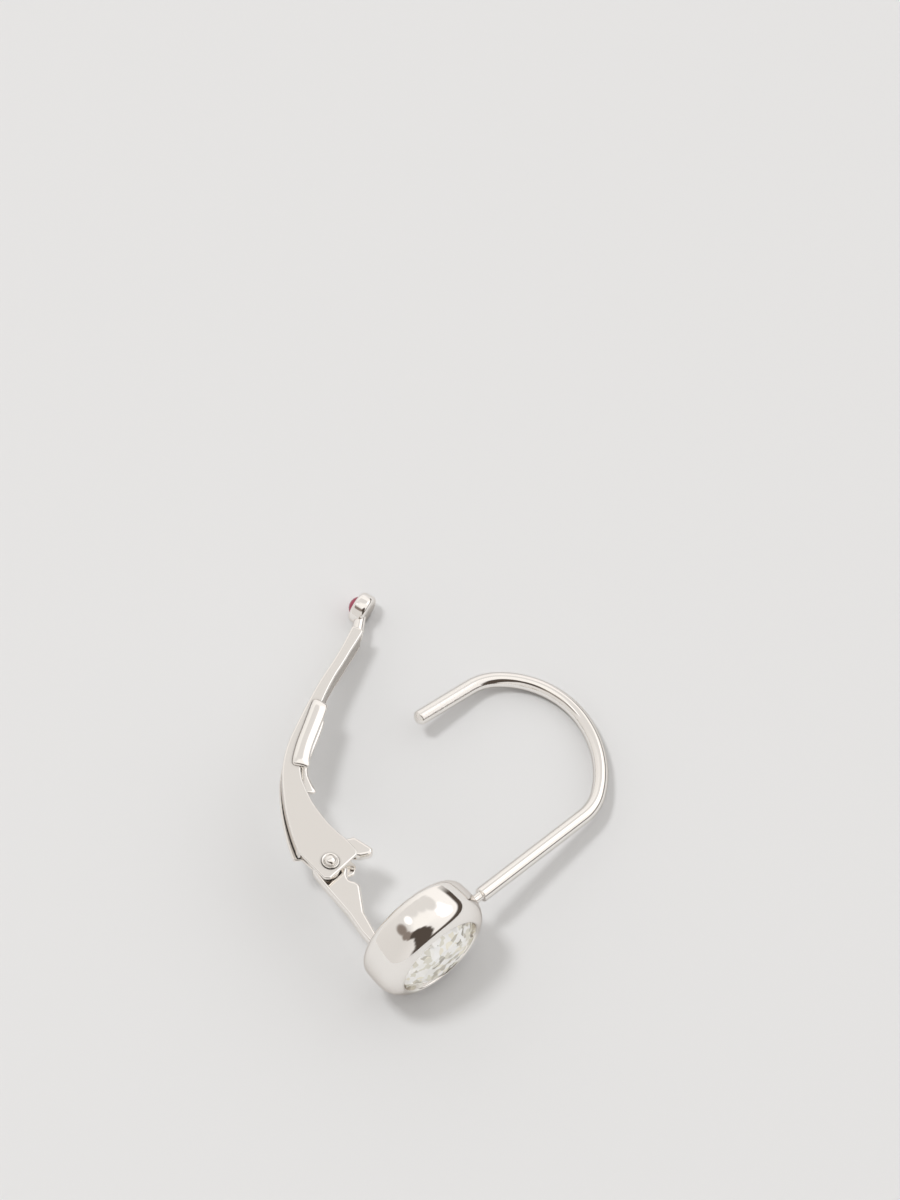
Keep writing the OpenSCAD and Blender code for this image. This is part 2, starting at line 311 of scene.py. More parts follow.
def shrunk(points, depth, sharpest=0.5):  # closed outline moved inward; sharpest holds back sharp corners
    area = sum(points[i - 1].cross(points[i]) for i in range(len(points)))
    made = []
    for i, point in enumerate(points):
        before = (point - points[i - 1]).normalized()
        after = (points[(i + 1) % len(points)] - point).normalized()
        inward = Vector((-before.y - after.y, before.x + after.x)) * (1 if area > 0 else -1)
        made.append(point + inward * depth / max(sharpest, 1 + before.dot(after)))
    return made


def layers(low, high, edge, hold=0.02, steps=4):  # (inset, height) up the side of a slab with rounded edges
    rise = [(edge + hold, low)]
    rise += [(edge * (1 - math.sin(t)), low + edge * (1 - math.cos(t))) for t in quarterTurn(steps)]
    fall = [(inset, low + high - height) for inset, height in reversed(rise)]
    if high - low > 2 * (edge + hold):
        return rise + [(0, low + edge + hold), (0, high - edge - hold)] + fall
    return rise + fall


def bandFaces(levels, count):  # quads between rings of points that follow one another
    faces = []
    for level in range(levels - 1):
        for i in range(count):
            j = (i + 1) % count
            a, b = level * count, (level + 1) * count
            faces.append((a + i, a + j, b + j, b + i))
    return faces


def slab(name, outline, low, high, edge):  # flat piece between two heights
    rings = [[(*p, height) for p in shrunk(outline, inset)]
             for inset, height in layers(low, high, edge)]
    count = len(outline)
    faces = bandFaces(len(rings), count)
    for level in (0, len(rings) - 1):
        cap = tessellate_polygon([[Vector(p) for p in rings[level]]])
        faces += [tuple(level * count + i for i in triangle) for triangle in cap]
    return meshObject(name, [p for ring in rings for p in ring], faces)


def loft(name, loops):  # closed skin over a row of closed loops
    count = len(loops[0])
    last = (len(loops) - 1) * count
    faces = bandFaces(len(loops), count) + [tuple(range(count)), tuple(last + i for i in range(count))]
    return meshObject(name, [p for loop in loops for p in loop], faces)


# Geometry Nodes

def newTree(name, sizes):  # sizes are (name, kind, value)
    tree = bpy.data.node_groups.new(name, "GeometryNodeTree")
    tree.interface.new_socket("Geometry", in_out="INPUT", socket_type="NodeSocketGeometry")
    for label, kind, value in sizes:
        tree.interface.new_socket(label, in_out="INPUT", socket_type=kind).default_value = value
    tree.interface.new_socket("Material", in_out="INPUT", socket_type="NodeSocketMaterial")
    tree.interface.new_socket("Geometry", in_out="OUTPUT", socket_type="NodeSocketGeometry")
    return tree, tree.nodes.new("NodeGroupInput")


def endTree(tree, inputs, shape):
    smooth = addNode(tree, "GeometryNodeSetShadeSmooth", {"Geometry": shape})
    real = addNode(tree, "GeometryNodeRealizeInstances", {"Geometry": smooth.outputs["Geometry"]})
    dressed = addNode(tree, "GeometryNodeSetMaterial", {"Geometry": real.outputs["Geometry"],
                                                        "Material": inputs.outputs["Material"]})
    addNode(tree, "NodeGroupOutput", {"Geometry": dressed.outputs["Geometry"]})
    return tree


def latheTree():  # turns a half section in the xy plane, y its radius, round the x axis
    tree, inputs = newTree("Turned on a lathe", [("Steps round", "NodeSocketInt", 96)])
    section = inputs.outputs["Geometry"]
    count = addNode(tree, "GeometryNodeAttributeDomainSize", {"Geometry": section}).outputs["Point Count"]
    columns = addNode(tree, "ShaderNodeMath", {0: inputs.outputs["Steps round"], 1: 1}, operation="ADD")
    sheet = addNode(tree, "GeometryNodeMeshGrid", {"Size X": 1, "Size Y": 1, "Vertices X": count,
                                                   "Vertices Y": columns.outputs[0]})
    here = addNode(tree, "GeometryNodeInputPosition").outputs[0]
    place = addNode(tree, "ShaderNodeSeparateXYZ", {0: here})
    gaps = addNode(tree, "ShaderNodeMath", {0: count, 1: 1}, operation="SUBTRACT")
    share = addNode(tree, "ShaderNodeMath", {0: place.outputs["X"], 1: 0.5}, operation="ADD")
    nudge = 0.25  # so that rounding errors don't cut a whole number to the one below it
    index = addNode(tree, "ShaderNodeMath", {0: share.outputs[0], 1: gaps.outputs[0], 2: nudge},
                    operation="MULTIPLY_ADD")
    whole = addNode(tree, "ShaderNodeMath", {0: index.outputs[0]}, operation="FLOOR")
    point = addNode(tree, "GeometryNodeSampleIndex", {"Geometry": section, "Value": here,
                                                      "Index": whole.outputs[0]}, data_type="FLOAT_VECTOR")
    xyz = addNode(tree, "ShaderNodeSeparateXYZ", {0: point.outputs["Value"]})
    angle = addNode(tree, "ShaderNodeMath", {0: place.outputs["Y"], 1: math.tau}, operation="MULTIPLY")
    across = addNode(tree, "ShaderNodeMath", {0: angle.outputs[0]}, operation="COSINE")
    over = addNode(tree, "ShaderNodeMath", {0: angle.outputs[0]}, operation="SINE")
    y = addNode(tree, "ShaderNodeMath", {0: xyz.outputs["Y"], 1: across.outputs[0]}, operation="MULTIPLY")
    z = addNode(tree, "ShaderNodeMath", {0: xyz.outputs["Y"], 1: over.outputs[0]}, operation="MULTIPLY")
    where = addNode(tree, "ShaderNodeCombineXYZ", {"X": xyz.outputs["X"], "Y": y.outputs[0],
                                                   "Z": z.outputs[0]})
    turned = addNode(tree, "GeometryNodeSetPosition", {"Geometry": sheet.outputs["Mesh"],
                                                       "Position": where.outputs[0]})
    welded = addNode(tree, "GeometryNodeMergeByDistance", {"Geometry": turned.outputs["Geometry"],
                                                           "Distance": weld})
    return endTree(tree, inputs, welded.outputs["Geometry"])


def wireTree():  # runs a round wire along a path whose points carry their own radius
    tree, inputs = newTree("Wire along a path", [("Steps round", "NodeSocketInt", 32)])
    path = addNode(tree, "GeometryNodeMeshToCurve", {"Mesh": inputs.outputs["Geometry"]})
    thickness = addNode(tree, "GeometryNodeInputNamedAttribute", {"Name": "wireRadius"}, data_type="FLOAT")
    section = addNode(tree, "GeometryNodeCurvePrimitiveCircle", {"Resolution": inputs.outputs["Steps round"],
                                                                 "Radius": 1})
    wire = addNode(tree, "GeometryNodeCurveToMesh", {"Curve": path.outputs["Curve"],
                                                     "Profile Curve": section.outputs["Curve"],
                                                     "Scale": thickness.outputs["Attribute"],
                                                     "Fill Caps": True})
    return endTree(tree, inputs, wire.outputs["Mesh"])


def grown(name, tree, points, material, steps, attribute=None):  # runs a tree on a line of points
    mesh = bpy.data.meshes.new(name + "_line")
    mesh.from_pydata([(*p[:2], 0) for p in points], [(i, i + 1) for i in range(len(points) - 1)], [])
    if attribute:
        mesh.attributes.new(attribute, "FLOAT", "POINT").data.foreach_set("value", [p[2] for p in points])
    line = bpy.data.objects.new(name + "_line", mesh)
    bpy.context.scene.collection.objects.link(line)
    modifier = line.modifiers.new(tree.name, "NODES")
    modifier.node_group = tree
    sockets = {item.name: item.identifier for item in tree.interface.items_tree if item.in_out == "INPUT"}
    modifier[sockets["Steps round"]] = steps
    modifier[sockets["Material"]] = material
    solid = bpy.data.meshes.new_from_object(line.evaluated_get(bpy.context.evaluated_depsgraph_get()))
    bpy.data.objects.remove(line)
    made = bpy.data.objects.new(name, solid)
    bpy.context.scene.collection.objects.link(made)
    return made


lathe = latheTree()
wireRun = wireTree()
roundSteps = {"bezel": 192, "wire": 40, "cup": 96, "neck": 48, "small": 64}

# The bezel and its stone

stone = {"diameter": 5.3, "table": 0.56, "crownAngle": 33, "pavilionAngle": 40.5, "girdle": 0.1,
         "forward": 0.96, "star": 0.5, "lower": 0.79}
bezel = {"radius": 3.6, "front": 1.45, "back": -1.4, "frontRound": 1.25, "backRound": 0.6, "lipRound": 0.12,
         "backHole": 1.9, "lap": 0.07, "gap": 0.02, "swell": 7,  # swell: degrees by which the wall bulges
         "insideRound": 0.04, "boreRound": 0.15,
         "steps": {"back": 14, "wall": 16, "front": 20, "lip": 8}}


def bezelSection():  # (forward, radius), round the section and back to its start
    seat = stone["diameter"] / 2 + bezel["gap"]
    opening = seat - bezel["lap"]
    lipMiddle = opening + bezel["lipRound"]
    frontCentre = (bezel["front"] - bezel["frontRound"], bezel["radius"] - bezel["frontRound"])
    backCentre = (bezel["back"] + bezel["backRound"], bezel["radius"] - bezel["backRound"])
    crest = math.degrees(math.asin((lipMiddle - frontCentre[1]) / bezel["frontRound"]))
    lipForward = frontCentre[0] + bezel["frontRound"] * math.cos(math.radians(crest)) - bezel["lipRound"]
    roof = stone["forward"] + stone["girdle"] / 2 + bezel["gap"]
    under = stone["forward"] - stone["girdle"] / 2 - 2 * bezel["gap"]
    bore = bezel["backHole"]
    seatFoot = under - (seat - bore) * math.tan(math.radians(stone["pavilionAngle"]))
    swell, steps = bezel["swell"], bezel["steps"]
    outside = arc(backCentre, bezel["backRound"], 180, 90 + swell, steps["back"])
    front = arc(frontCentre, bezel["frontRound"], 90 - swell, crest, steps["front"])
    chord = front[0] - outside[-1]
    bend = chord.length / 2 / math.sin(math.radians(swell))
    middle = (front[0] + outside[-1]) / 2 - Vector((0, bend * math.cos(math.radians(swell))))
    outside += arc(middle, bend, 90 + swell, 90 - swell, steps["wall"])[1:-1] + front
    outside += arc((lipForward, lipMiddle), bezel["lipRound"], 0, -90, steps["lip"])
    inside = filleted([outside[-1], (roof, opening), (roof, seat), (under, seat), (seatFoot, bore),
                       (bezel["back"], bore, bezel["boreRound"]), outside[0]], bezel["insideRound"],
                      closed=False)
    return outside + inside[1:]


def brilliant():  # table, stars, kites, upper and lower halves and mains, every kite flat
    r = stone["diameter"] / 2
    half = stone["girdle"] / 2
    tableR = r * stone["table"]
    crownFall = math.tan(math.radians(stone["crownAngle"]))
    pavilionFall = math.tan(math.radians(stone["pavilionAngle"]))
    halfEighth = 22.5  # degrees, half of an eighth of the round
    inward = math.cos(math.radians(halfEighth))
    starR = (tableR + (r * inward - tableR) * stone["star"]) / inward
    starZ = half + (r - starR * inward) * crownFall
    lowerR = r * (1 - stone["lower"]) / inward
    lowerZ = -half - (r - lowerR * inward) * pavilionFall

    def ring(count, radius, z, turn):
        return [(z, radius * math.cos(a), radius * math.sin(a))
                for a in (math.radians(turn + 360 * k / count) for k in range(count))]

    points = (ring(8, tableR, half + (r - tableR) * crownFall, 0) + ring(8, starR, starZ, halfEighth)
              + ring(16, r, half, 0) + ring(16, r, -half, 0) + ring(8, lowerR, lowerZ, halfEighth)
              + [(-half - r * pavilionFall, 0, 0)])
    stars, upper, under, low, culet = 8, 16, 32, 48, 56  # where each ring of points starts in the list
    faces = [tuple(range(8))]
    for i in range(8):
        table, star, girdle = i, stars + i, upper + 2 * i
        nextTable, lastStar, nextGirdle = (i + 1) % 8, stars + (i - 1) % 8, upper + (2 * i + 2) % 16
        lower, lastLower = low + i, low + (i - 1) % 8
        faces += [(table, nextTable, star), (table, star, girdle, lastStar), (star, girdle + 1, girdle),
                  (star, nextGirdle, girdle + 1), (girdle + 16, girdle + 17, lower),
                  (girdle + 17, nextGirdle + 16, lower), (girdle + 16, lower, culet, lastLower)]
    faces += [(upper + k, upper + (k + 1) % 16, under + (k + 1) % 16, under + k) for k in range(16)]
    return placed(meshObject("diamond_brilliant", points, faces), (stone["forward"], 0), 0)


# The ear wire, with the neck that joins it to the bezel

earWire = {"radius": 0.425, "foot": (-0.35, 4.37), "lean": 93.5, "stem": 8, "free": 3.83, "neckRadius": 0.25,
           "shoulder": 0.06, "shoulderFoot": 0.001, "bevel": 0.21, "turnStep": 2.5,
           "arch": [(3, 34), (6.4, 45), (5.1, 63.4), (3, 31.6)],  # (radius, turn) of each bend
           "stemPoints": (0.12, 1, 2, 4, 6), "freePoints": (0, 1, 2.5),
           # (along, thicker by) in the neck, from the bevel's start and from the tip
           "neckRun": [(-1.15, 0), (-0.3, 0), (-0.05, 0), (-0.015, 0.01), (0, 0.04)],
           "bevelStart": [(-0.12, 0), (-0.04, 0), (0, -0.012), (0.03, -0.035)],
           "bevelEnd": [(-0.04, 0.03), (-0.012, 0), (0, -0.03), (0, -0.06)]}


def wirePath():  # (x, y, wire radius) from inside the bezel to the tip
    full, neck, shoulder = earWire["radius"], earWire["neckRadius"], earWire["shoulder"]
    heading = earWire["lean"]
    foot = Vector(earWire["foot"])
    path = [(s, neck + more) for s, more in earWire["neckRun"]]
    path += [(earWire["shoulderFoot"] + shoulder * (1 - math.cos(t)), full - shoulder * (1 - math.sin(t)))
             for t in quarterTurn(4)]
    path += [(s, full) for s in earWire["stemPoints"]]
    made = [(*ahead(foot, heading, s), r) for s, r in path]
    point = ahead(foot, heading, earWire["stem"])
    for radius, turn in earWire["arch"]:
        middle = aside(point, heading, -radius)
        steps = round(turn / earWire["turnStep"])
        made += [(*aside(middle, heading + turn * k / steps, radius), full) for k in range(steps)]
        heading += turn
        point = aside(middle, heading, radius)
    end = earWire["free"]
    bevelFrom, tipRadius = end - earWire["bevel"], full - earWire["bevel"]
    tip = [(s, full) for s in earWire["freePoints"]]
    tip += [(bevelFrom + s, full + more) for s, more in earWire["bevelStart"]]
    tip += [(end + s, tipRadius + more) for s, more in earWire["bevelEnd"]]
    return made + [(*ahead(point, heading, s), r) for s, r in tip]


# The tang behind the bezel, with the bosses that the lever's ears run against

hinge = (-6.7, -1.4)
tang = {"thickness": 0.6, "edge": 0.2, "corner": 0.22,
        "bossRadius": 0.65, "bossHalf": 0.63, "bossEdge": 0.06, "bossHold": 0.02,
        "outline": [(-0.8, -2.7), (-2.4, -2.66), (-3.75, -2.46), (-6, -2.4), (-7.05, -2.3), (-7.4, -1.95),
                    (-7.55, -1.4), (-7.75, 0.2), (-7.4, 1.05), (-6.2, 1.4), (-5.95, 1.2), (-6, 0.9),
                    (-6.2, 0.45), (-6.5, 0.15), (-6.5, -0.4), (-6, -0.6), (-5.75, -0.85), (-5.4, -1),
                    (-5.15, -0.8), (-4.8, -0.7), (-4.4, -0.95), (-3.3, -1.65), (-0.8, -2.25)]}


def tangPlate():
    outline = filleted(tang["outline"], tang["corner"])
    half = tang["thickness"] / 2
    return slab("tang", outline, -half, half, tang["edge"])


def onHinge(thing):  # turns what was drawn along x to lie across the side plane, at the hinge
    thing.data.transform(Matrix.Translation((*hinge, 0)) @ Matrix.Rotation(math.radians(-90), 4, "Y"))
    return thing


def hingeBosses():
    r, half, edge = tang["bossRadius"], tang["bossHalf"], tang["bossEdge"]
    flat = r - edge - tang["bossHold"]
    section = [(-half, 0), (-half, flat)] + arc((-half + edge, r - edge), edge, 180, 90, steps=4)
    section += arc((half - edge, r - edge), edge, 90, 0, steps=4) + [(half, flat), (half, 0)]
    return onHinge(grown("hinge_bosses", lathe, section, castGold, roundSteps["small"]))


# The hinge pin: a riveted rod with a ringed dome at each end

pin = {"radius": 0.3, "reach": 0.92, "headRadius": 0.5, "ring": 0.09, "domeRadius": 0.33, "height": 0.3,
       "hold": 0.02,
       "groove": [(0.3, 0.06), (0.15, 0.02), (0.5, 0)]}  # (share of the ring's height, out from the dome)


def pinSection():
    base, ring, dome = pin["reach"], pin["ring"], pin["domeRadius"]
    edge = ring / 2
    rise = pin["height"] - ring
    head = [(base, pin["radius"]), (base, pin["headRadius"] - edge - pin["hold"])]
    head += arc((base + edge, pin["headRadius"] - edge), edge, 180, 0, steps=8)
    head += [(base + ring * share, dome + out) for share, out in pin["groove"]]
    head += [(base + ring + rise * math.sin(t), dome * math.cos(t)) for t in quarterTurn(10)]
    return [(-x, y) for x, y in reversed(head)] + head


# The lever: a sheet folded to a channel, its ears round the pin

lever = {"start": (-8.22, -2.42), "heading": 162, "depth": 2.85, "stretch": 1.6, "steps": 4,
         "run": [(-8, 2.2), (-6, 1.6), (-6, 1.15), (-13, 0.92), (-11, 0.88), (-1, 0.82), (-2, 0.7), (-5, 0.6),
                 (5, 0.6), (3, 0.72)],  # (turn, depth) of each stretch from the hinge to the tip
         "halfWidth": 0.9, "wall": 0.22, "edge": 0.1, "corner": 0.14,
         "ear": [(-6.35, 0.3), (-6.15, 0.12), (-5.85, -2.1), (-6.05, -2.36), (-7.2, -2.42)],
         "farEar": [(-6.2, 0.36, 0.3), (-5.86, -0.1, 0.3), (-6.1, -1.2), (-6.25, -1.85, 0.4),
                    (-6.8, -2.02, 0.5), (-7.3, -1.75, 0.3), (-8.35, -1.9)],
         "back": {"recess": (0.26, 0.07), "fade": 2.2, "groove": 0.1, "edge": 0.03},  # recess at heel, above
         "end": {"first": 27, "inset": 0.04, "narrower": 0.03, "corner": 0.1, "edge": 0.05}}


def leverStations():  # (point, heading, depth) along the back
    point, heading, depth = Vector(lever["start"]), lever["heading"], lever["depth"]
    made = [(point, heading, depth)]
    for turn, wanted in lever["run"]:
        before = depth
        for k in range(lever["steps"]):
            step = turn / lever["steps"]
            point = ahead(point, heading + step / 2, lever["stretch"] / lever["steps"])
            heading += step
            depth = before + (wanted - before) * (k + 1) / lever["steps"]
            made.append((point, heading, depth))
    return made


stations = leverStations()


def sidePlate(name, ear, low, high, first=0):
    run = stations[first:]
    back = [aside(p, h, 0) for p, h, d in run]
    front = [aside(p, h, d) for p, h, d in reversed(run)]
    outline = filleted([*back, *front, *ear], lever["corner"])
    return slab(name, outline, low, high, lever["edge"])


def backWall():  # set in from the side plates, most at the heel, with a groove along each side
    sheet = lever["back"]
    run = stations[1:lever["end"]["first"] + 1]
    deep, shallow = sheet["recess"]
    inset = [deep + (shallow - deep) * min(1, sheet["fade"] * i / len(run)) for i in range(len(run))]
    outer = [aside(p, h, s) for (p, h, d), s in zip(run, inset)]
    inner = [aside(p, h, s + lever["wall"]) for (p, h, d), s in reversed(list(zip(run, inset)))]
    half = lever["halfWidth"] - lever["wall"] - sheet["groove"]
    return slab("back", outer + inner, -half, half, sheet["edge"])


def armEnd():  # the closed stretch from past the lips to the cup
    sheet = lever["end"]
    run = stations[sheet["first"]:]
    inset = sheet["inset"]
    outline = [aside(p, h, inset) for p, h, d in run] + [aside(p, h, d - inset) for p, h, d in reversed(run)]
    half = lever["halfWidth"] - sheet["narrower"]
    return slab("end", filleted(outline, sheet["corner"]), -half, half, sheet["edge"])


# The catch lips: flanges bulged out of the side plates, drawn as loops from station first to last.
# Crown is (across, share of the rise), foot and under are (across, out from the plate).

catch = {"first": 15, "farFirst": 13, "last": 26, "height": 0.54, "taper": 0.25, "root": 0.48,
         "rootRise": 0.28, "rise": 0.18, "farFlare": 0.5, "flareRun": 3, "leastWidth": 0.6,
         "ends": [(-0.16, 0.3), (-0.1, 0.7), (0, 0.92)],  # (shift along, fullness) of the loops at each end
         "crown": [(-0.94, 0.5), (-0.75, 0.86), (-0.4, 1), (0.2, 0.95), (0.55, 0.75), (0.85, 0.5),
                   (0.98, 0.15)],
         "foot": (-1, -0.08), "under": [(1, -0.05), (0.9, -0.13), (0.7, -0.15), (-0.5, -0.15)]}


def catchLip(side, first, flare):  # flare is how far its foot sticks out
    run = stations[first:catch["last"] + 1]
    top, last = lever["halfWidth"], len(run) - 1
    rows = [(0, shift, full) for shift, full in catch["ends"]]
    rows += [(i, 0, 1) for i in range(1, last)]
    rows += [(last, -shift, full) for shift, full in reversed(catch["ends"])]
    loops = []
    for i, shift, full in rows:
        point, heading, depth = run[i]
        share = i / last
        root = catch["root"] - catch["rootRise"] * share ** 2
        reach = depth + catch["height"] * (1 - catch["taper"] * share)
        reach += flare * max(0, 1 - catch["flareRun"] * share)
        middle = (root + reach) / 2
        half = (reach - root) / 2 * (catch["leastWidth"] + (1 - catch["leastWidth"]) * full)
        rise = catch["rise"] * full
        section = [catch["foot"]] + [(a, m * rise) for a, m in catch["crown"]] + catch["under"]
        at = ahead(point, heading, shift)
        loops.append([(*aside(at, heading, middle + a * half), (top + m) * side) for a, m in section])
    return loft("lip", loops)


def leverPieces():
    w, wall = lever["halfWidth"], lever["wall"]
    near = sidePlate("near", lever["ear"], w - wall, w)
    far = sidePlate("far", lever["farEar"], -w, wall - w, 1)
    return joined("lever_channel", [near, far, backWall(), armEnd()])


# The cup at the tip with its small red stone

redDome = {"radius": 0.575, "height": 0.34, "start": 0.97,  # start: share of the dome's half span
           "foot": [(0.05, 0.06), (0.08, 0.02), (0.12, 0)],  # (forward, in from the radius)
           "brim": [(0.03, 0), (0, 0.008)]}  # (back from the cup's face, in from the radius)
cup = {"at": (-18.68, 11.12), "faces": 198, "radius": 0.9, "thickness": 0.85, "edge": 0.22, "gap": 0.02,
       "floor": [(-0.05, 0), (-0.04, 0.3)], "floorEdge": 0.02, "floorTurn": 170, "rim": 0.05,
       "seatRound": 0.04, "neckRadius": 0.34, "neckRound": 0.1, "neckTip": 0.001,
       # (along, share of the neck's radius) on from the arm's end, then back from the cup's middle
       "neckFromArm": [(-0.25, 1), (0, 1), (0.08, 1.12), (0.16, 1), (0.22, 0.82), (0.3, 1.02), (0.4, 1.02)],
       "neckFromCup": (0.5, 0.95), "neckInCup": 0.35}


def cupSection():
    low, high, edge, r = -cup["thickness"] / 2, cup["thickness"] / 2, cup["edge"], cup["radius"]
    rim, soft = cup["rim"], cup["seatRound"]
    seat = redDome["radius"] + cup["gap"]
    section = [(low + down, radius) for down, radius in cup["floor"]]
    section += arc((low + edge, r - edge), edge + cup["floorEdge"], cup["floorTurn"], 90, steps=8)
    section += arc((high - edge, r - edge), edge, 90, 0, steps=8)
    section += arc((high - rim, seat + rim), rim, 0, -90, steps=4)
    return section + [(soft, seat), (0, seat - soft), (0, 0)]


def cupNeck():  # two small beads where the cup is soldered to the arm
    p, h, d = stations[-1]
    armEndMiddle = aside(p, h, d / 2)
    way = Vector(cup["at"]) - armEndMiddle
    r, length, tip = cup["neckRadius"], way.length, cup["neckTip"]
    beads = [(s, r * wide) for s, wide in cup["neckFromArm"]]
    before, wide = cup["neckFromCup"]
    shape = [(beads[0][0], tip)] + beads
    shape += [(length - before, r * wide), (length - cup["neckInCup"], tip)]
    outline = filleted(shape, cup["neckRound"], closed=False)
    made = grown("neck", lathe, outline, castGold, roundSteps["neck"])
    return placed(made, armEndMiddle, math.degrees(math.atan2(way.y, way.x)))


def redStone():
    r, h = redDome["radius"], redDome["height"]
    ball = (r * r + h * h) / (2 * h)
    span = math.degrees(math.asin(r / ball))
    face = cup["thickness"] / 2
    section = [(redDome["foot"][0][0], 0)] + [(s, r - less) for s, less in redDome["foot"]]
    section += [(face - s, r - less) for s, less in redDome["brim"]]
    section += arc((face + h - ball, 0), ball, span * redDome["start"], 0, steps=10)
    dome = grown("red_stone_dome", lathe, section, castGold, roundSteps["small"])
    return placed(dome, cup["at"], cup["faces"])


clearStone = diamondMaterial(diamondLook)
redCorundum = rubyMaterial(rubyLook)
print("materials made")

bezelRing = grown("bezel_ring", lathe, bezelSection(), castGold, roundSteps["bezel"])
finishPiece(bezelRing, castGold, "frame", "bezel_and_ear_wire")
wire = grown("ear_wire", wireRun, wirePath(), drawnGold, roundSteps["wire"], "wireRadius")
finishPiece(wire, drawnGold, "frame", "bezel_and_ear_wire")
finishPiece(joined("hinge_tang", [tangPlate(), hingeBosses()]), smallGold, "frame",
            "bezel_and_ear_wire")
finishPiece(brilliant(), clearStone, "frame", "diamond", smooth=False)
finishPiece(leverPieces(), sheetGold, "lever", "lever")
lips = [catchLip(1, catch["first"], 0), catchLip(-1, catch["farFirst"], catch["farFlare"])]
finishPiece(joined("catch_lips", lips), smallGold, "lever", "lever")
tipCup = placed(grown("cup", lathe, cupSection(), castGold, roundSteps["cup"]), cup["at"], cup["faces"])
finishPiece(joined("tip_cup", [tipCup, cupNeck()]), smallGold, "lever", "lever")
pinBody = onHinge(grown("hinge_rivet", lathe, pinSection(), castGold, roundSteps["small"]))
finishPiece(pinBody, smallGold, "lever", "hinge_pin")
finishPiece(redStone(), redCorundum, "lever", "red_stone")

# The studio: a pale table in a light grey room that is brighter on one side, with a softbox at the back
# right and a dark stand with a grey boom in front. All but the table and the key light is painted on the
# sky, by direction: azimuth 0 is the way the camera looks. Spots are (azimuth, elevation, radius) in
# degrees, and soft is the width of a patch's edge.

studio = {"table": "#E7E8E9", "tableSize": 4, "tableRoughness": 0.6, "tableShine": 0.2,
          "keyPower": 7, "keyDistance": 1.6, "keyRadius": 0.17, "keyFrom": (-0.36, 0.13, 0.92),
          "brightWall": "#EBE8E5", "dimWall": "#C9C6C3", "brightSide": 50,  # azimuth of the brightest wall
          "overhead": "#E9E6E2", "overheadFrom": (0.9, 0.97), "underTable": "#E6E6E6", "strength": 1.21}
skirting = {"from": 18, "fromSoft": 12, "to": 168, "toSoft": 8, "high": 15, "soft": 6,
            "tone": "#4A423C"}  # dark strip round the horizon
softbox = {"tone": "#FFFFFF", "soft": 3, "spots": [(44, 44, 13), (58, 41, 17), (74, 36, 14)]}
ceiling = {"tone": "#CECBC8", "soft": 6,
           "spots": [(14, 49, 11), (-6, 57, 10), (-35, 61, 10), (-62, 60, 10), (-85, 56, 9)]}
darkStand = {"tone": "#4A423C", "soft": 6, "spots": [(146, 6, 12), (147, 20, 15), (147, 34, 18),
                                                     (151, 48, 18), (163, 62, 15), (-170, 66, 13)]}
lamp = {"tone": "#FFFFFF", "soft": 3, "spots": [(-71, 65, 6)]}
boom = {"tone": "#7D736C", "soft": 5, "spots": [(-145, 61, 11), (-122, 56, 9), (-100, 53, 8)]}


def direction(azimuth, elevation):
    a, e = math.radians(azimuth), math.radians(elevation)
    return Vector((math.sin(a) * math.cos(e), math.cos(a) * math.cos(e), math.sin(e)))


def table():
    material, tree = newMaterial("matt_painted_table")
    paint = addNode(tree, "ShaderNodeBsdfPrincipled", {"Base Color": linear(studio["table"]),
                                                       "Roughness": studio["tableRoughness"],
                                                       "Specular IOR Level": studio["tableShine"]})
    addNode(tree, "ShaderNodeOutputMaterial", {"Surface": paint.outputs["BSDF"]})
    half = studio["tableSize"] / 2
    top = meshObject("table_top", [(-half, -half, 0), (half, -half, 0), (half, half, 0), (-half, half, 0)],
                     [(0, 1, 2, 3)])
    top.data.materials.append(material)


def overlaid(tree, tone, shape, way):  # paints a soft-edged patch, made of round spots, over the sky so far
    patch = None
    for azimuth, elevation, radius in shape["spots"]:
        near = addNode(tree, "ShaderNodeVectorMath", {0: way, 1: direction(azimuth, elevation)},
                       operation="DOT_PRODUCT").outputs["Value"]
        outer, inner = (math.cos(math.radians(radius + side * shape["soft"] / 2)) for side in (1, -1))
        spot = addNode(tree, "ShaderNodeMapRange", {"Value": near, "From Min": outer, "From Max": inner},
                       interpolation_type="SMOOTHSTEP").outputs["Result"]
        patch = spot if patch is None else addNode(tree, "ShaderNodeMath", {0: patch, 1: spot},
                                                   operation="MAXIMUM").outputs[0]
    return addNode(tree, "ShaderNodeMix", {"Factor": patch, "A": tone, "B": linear(shape["tone"])},
                   data_type="RGBA").outputs["Result"]


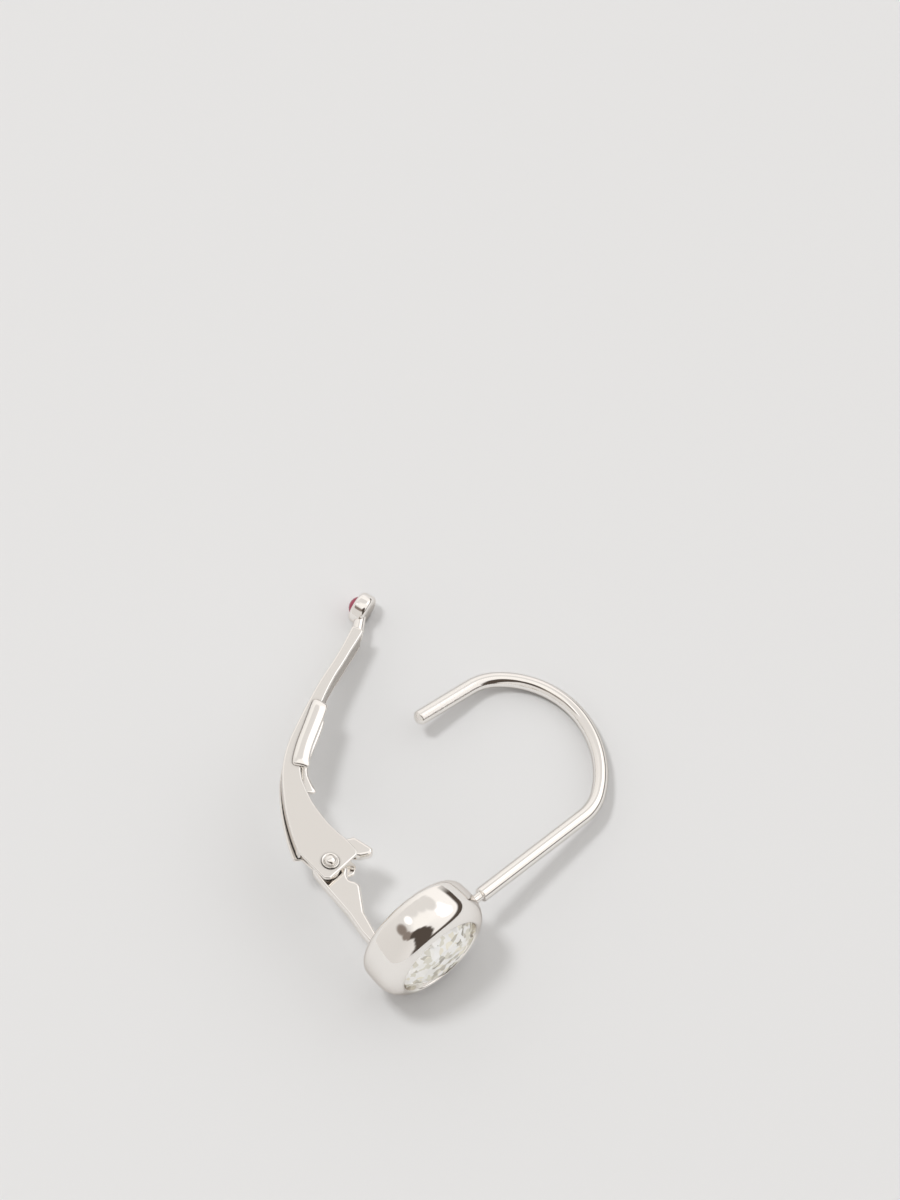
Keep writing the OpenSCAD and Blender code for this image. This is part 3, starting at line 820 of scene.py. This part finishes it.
def room():
    world = bpy.data.worlds.new("room")
    bpy.context.scene.world = world
    world.use_nodes = True
    tree = world.node_tree
    tree.nodes.clear()
    way = addNode(tree, "ShaderNodeTexCoord").outputs["Generated"]
    xyz = addNode(tree, "ShaderNodeSeparateXYZ", {0: way})
    angle = addNode(tree, "ShaderNodeMath", {0: xyz.outputs["X"], 1: xyz.outputs["Y"]}, operation="ARCTAN2")
    level = addNode(tree, "ShaderNodeCombineXYZ", {"X": xyz.outputs["X"], "Y": xyz.outputs["Y"], "Z": 0})
    flat = addNode(tree, "ShaderNodeVectorMath", {0: level.outputs["Vector"]}, operation="NORMALIZE")
    facing = addNode(tree, "ShaderNodeVectorMath", {0: flat.outputs["Vector"],
                                                    1: direction(studio["brightSide"], 0)},
                     operation="DOT_PRODUCT").outputs["Value"]
    share = addNode(tree, "ShaderNodeMapRange", {"Value": facing, "From Min": -1, "From Max": 1})
    walls = addNode(tree, "ShaderNodeMix", {"Factor": share.outputs["Result"], "A": linear(studio["dimWall"]),
                                            "B": linear(studio["brightWall"])}, data_type="RGBA")
    low, high = studio["overheadFrom"]
    upper = addNode(tree, "ShaderNodeMapRange", {"Value": xyz.outputs["Z"], "From Min": low,
                                                 "From Max": high})
    tone = addNode(tree, "ShaderNodeMix", {"Factor": upper.outputs["Result"], "A": walls.outputs["Result"],
                                           "B": linear(studio["overhead"])},
                   data_type="RGBA").outputs["Result"]
    for shape in (softbox, ceiling, boom, darkStand, lamp):
        tone = overlaid(tree, tone, shape, way)
    top, soft = skirting["high"], skirting["soft"]
    height = addNode(tree, "ShaderNodeMapRange", {
        "Value": xyz.outputs["Z"], "From Min": math.sin(math.radians(top)),
        "From Max": math.sin(math.radians(top - soft))}, interpolation_type="SMOOTHSTEP").outputs["Result"]
    ends = [addNode(tree, "ShaderNodeMapRange", {
        "Value": angle.outputs[0], "From Min": math.radians(end),
        "From Max": math.radians(end + turn)}).outputs["Result"]
        for end, turn in ((skirting["from"], skirting["fromSoft"]), (skirting["to"], -skirting["toSoft"]))]
    both = addNode(tree, "ShaderNodeMath", {0: ends[0], 1: ends[1]}, operation="MULTIPLY").outputs[0]
    strip = addNode(tree, "ShaderNodeMath", {0: both, 1: height}, operation="MULTIPLY").outputs[0]
    tone = addNode(tree, "ShaderNodeMix", {"Factor": strip, "A": tone, "B": linear(skirting["tone"])},
                   data_type="RGBA").outputs["Result"]
    below = addNode(tree, "ShaderNodeMath", {0: xyz.outputs["Z"], 1: 0}, operation="LESS_THAN").outputs[0]
    tone = addNode(tree, "ShaderNodeMix", {"Factor": below, "A": tone, "B": linear(studio["underTable"])},
                   data_type="RGBA").outputs["Result"]
    light = addNode(tree, "ShaderNodeBackground", {"Color": tone, "Strength": studio["strength"]})
    addNode(tree, "ShaderNodeOutputWorld", {"Surface": light.outputs["Background"]})


def keyLight():
    light = bpy.data.lights.new("key", "AREA")
    light.shape = "DISK"
    light.size = 2 * studio["keyRadius"]
    light.energy = studio["keyPower"]
    thing = bpy.data.objects.new("key", light)
    towards = Vector(studio["keyFrom"]).normalized()
    thing.location = towards * studio["keyDistance"]
    thing.rotation_euler = towards.to_track_quat("Z", "Y").to_euler()
    thing.visible_glossy = False  # the lamp painted on the sky is what the metal mirrors
    bpy.context.scene.collection.objects.link(thing)


photo = {"elevation": 66.3, "lens": 500, "sensor": 36, "longSide": 66.67,
         "right": 1.389, "up": 18.89}  # mm and degrees


def camera():
    lens = bpy.data.cameras.new("camera")
    lens.lens = photo["lens"]
    lens.sensor_width = photo["sensor"]
    thing = bpy.data.objects.new("camera", lens)
    bpy.context.scene.collection.objects.link(thing)
    back = direction(180, photo["elevation"])
    up = direction(0, 90 - photo["elevation"])
    target = Vector(resting["middle"]) + Vector((photo["right"], 0, 0)) + up * photo["up"]
    distance = photo["longSide"] * photo["lens"] / lens.sensor_width
    thing.location = (target + back * distance) * mm
    thing.rotation_euler = (math.radians(90 - photo["elevation"]), 0, 0)
    bpy.context.scene.camera = thing


table()
room()
keyLight()
camera()
bpy.context.scene.view_settings.view_transform = "Standard"
print("studio set")
